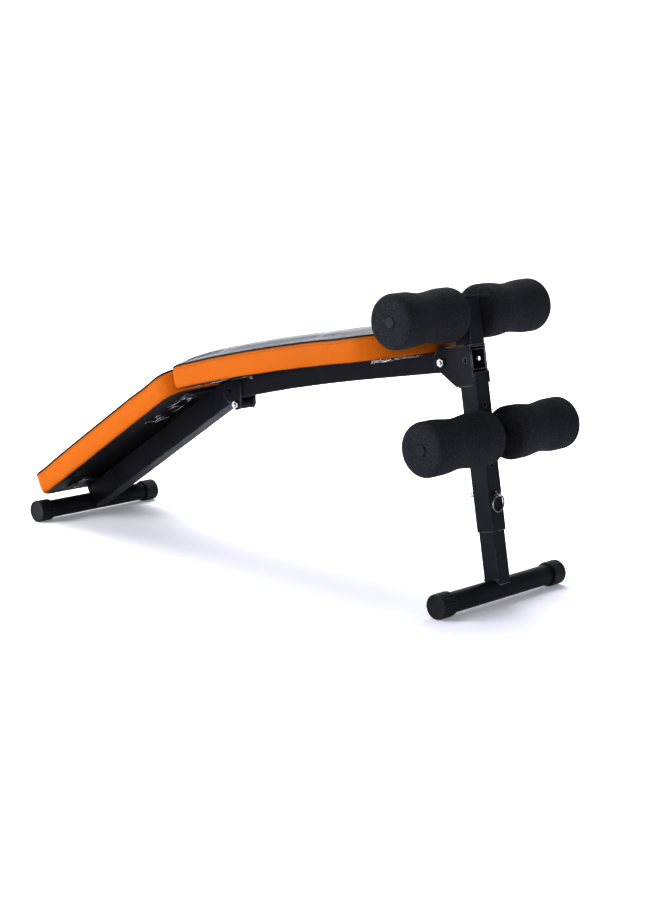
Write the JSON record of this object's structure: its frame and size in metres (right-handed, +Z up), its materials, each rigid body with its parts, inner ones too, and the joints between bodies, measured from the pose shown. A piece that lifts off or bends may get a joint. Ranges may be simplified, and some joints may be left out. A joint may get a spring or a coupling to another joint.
{
  "type": "decline sit up bench",
  "caption": "Folding decline sit-up bench with an arched tubular frame, padded boards, foam leg rollers and a front leg that a pull pin locks at several heights.",
  "frame": {"origin": "middle of the footprint, on the floor: the bottom centre of the bounding box", "axes": "+X points to the foam leg rollers, +Y to the left of a person lying on the pads, +Z up"},
  "size_m": [1.217, 0.4126, 0.5753],
  "materials": {
    "black_powder_coat": "satin",
    "black_plastic": "satin",
    "black_foam": "matte",
    "orange_vinyl": "satin",
    "black_board": "matte",
    "zinc_plate": "satin"
  },
  "bodies": {
    "front_frame": {"fold_bolt": "zinc_plate", "fold_nut": "zinc_plate", "front_beam": "black_powder_coat", "front_board": "black_board", "front_pad": "orange_vinyl", "front_pad_front_screw_left": "zinc_plate", "front_pad_front_screw_right": "zinc_plate", "front_pad_front_tab": "black_powder_coat", "front_pad_rear_screw_left": "zinc_plate", "front_pad_rear_screw_right": "zinc_plate", "front_pad_rear_tab": "black_powder_coat", "hinge_plate_left": "black_powder_coat", "hinge_plate_right": "black_powder_coat", "leg_sleeve": "black_powder_coat", "lower_crossbar": "black_powder_coat", "lower_plug_left": "black_plastic", "lower_plug_right": "black_plastic", "post_bolt": "zinc_plate", "post_cap": "black_plastic", "post_nut": "zinc_plate", "saddle_bracket": "black_powder_coat", "upper_crossbar": "black_powder_coat", "upper_plug_left": "black_plastic", "upper_plug_right": "black_plastic", "upper_post": "black_powder_coat"},
    "rear_section": {"rear_beam": "black_powder_coat", "hinge_barrel": "black_powder_coat", "rear_foot_tube": "black_powder_coat", "rear_foot_cap_left": "black_plastic", "rear_foot_cap_right": "black_plastic", "rear_pad": "orange_vinyl", "rear_board": "black_board", "rear_pad_lower_screw_left": "zinc_plate", "rear_pad_lower_screw_right": "zinc_plate", "rear_pad_lower_tab": "black_powder_coat", "rear_pad_upper_screw_left": "zinc_plate", "rear_pad_upper_screw_right": "zinc_plate", "rear_pad_upper_tab": "black_powder_coat"},
    "front_leg": {"leg_tube": "black_powder_coat", "front_foot_tube": "black_powder_coat", "front_foot_cap_left": "black_plastic", "front_foot_cap_right": "black_plastic"},
    "pull_pin": {"pull_pin": "zinc_plate"},
    "pin_ring": {"pin_ring": "zinc_plate"},
    "upper_roller_left": {"upper_roller_left": "black_foam"},
    "upper_roller_right": {"upper_roller_right": "black_foam"},
    "lower_roller_left": {"lower_roller_left": "black_foam"},
    "lower_roller_right": {"lower_roller_right": "black_foam"}
  },
  "joints": [
    {"name": "mid_fold", "type": "hinge", "parent": "front_frame", "child": "rear_section", "pos_m": [-0.09052, 0, 0.29573], "axis": [0, -1, 0], "range_deg": [0, 150]},
    {"name": "leg_height", "type": "slide", "parent": "front_frame", "child": "front_leg", "axis": [-0.165, 0, 0.9863], "range_m": [-0.11, 0.055]},
    {"name": "pin_pull", "type": "slide", "parent": "front_frame", "child": "pull_pin", "axis": [0.9863, 0, 0.165], "range_m": [0, 0.08]},
    {"name": "ring_swing", "type": "hinge", "parent": "pull_pin", "child": "pin_ring", "pos_m": [0.57227, 0, 0.20022], "axis": [0, -1, 0], "range_deg": [0, 120]},
    {"name": "upper_roller_left_spin", "type": "hinge", "parent": "front_frame", "child": "upper_roller_left", "pos_m": [0.48522, 0.119, 0.52531], "axis": [0, 1, 0], "continuous": true},
    {"name": "upper_roller_right_spin", "type": "hinge", "parent": "front_frame", "child": "upper_roller_right", "pos_m": [0.48522, -0.119, 0.52531], "axis": [0, 1, 0], "continuous": true},
    {"name": "lower_roller_left_spin", "type": "hinge", "parent": "front_frame", "child": "lower_roller_left", "pos_m": [0.55857, 0.119, 0.30693], "axis": [0, 1, 0], "continuous": true},
    {"name": "lower_roller_right_spin", "type": "hinge", "parent": "front_frame", "child": "lower_roller_right", "pos_m": [0.55857, -0.1124, 0.30693], "axis": [0, 1, 0], "continuous": true}
  ]
}
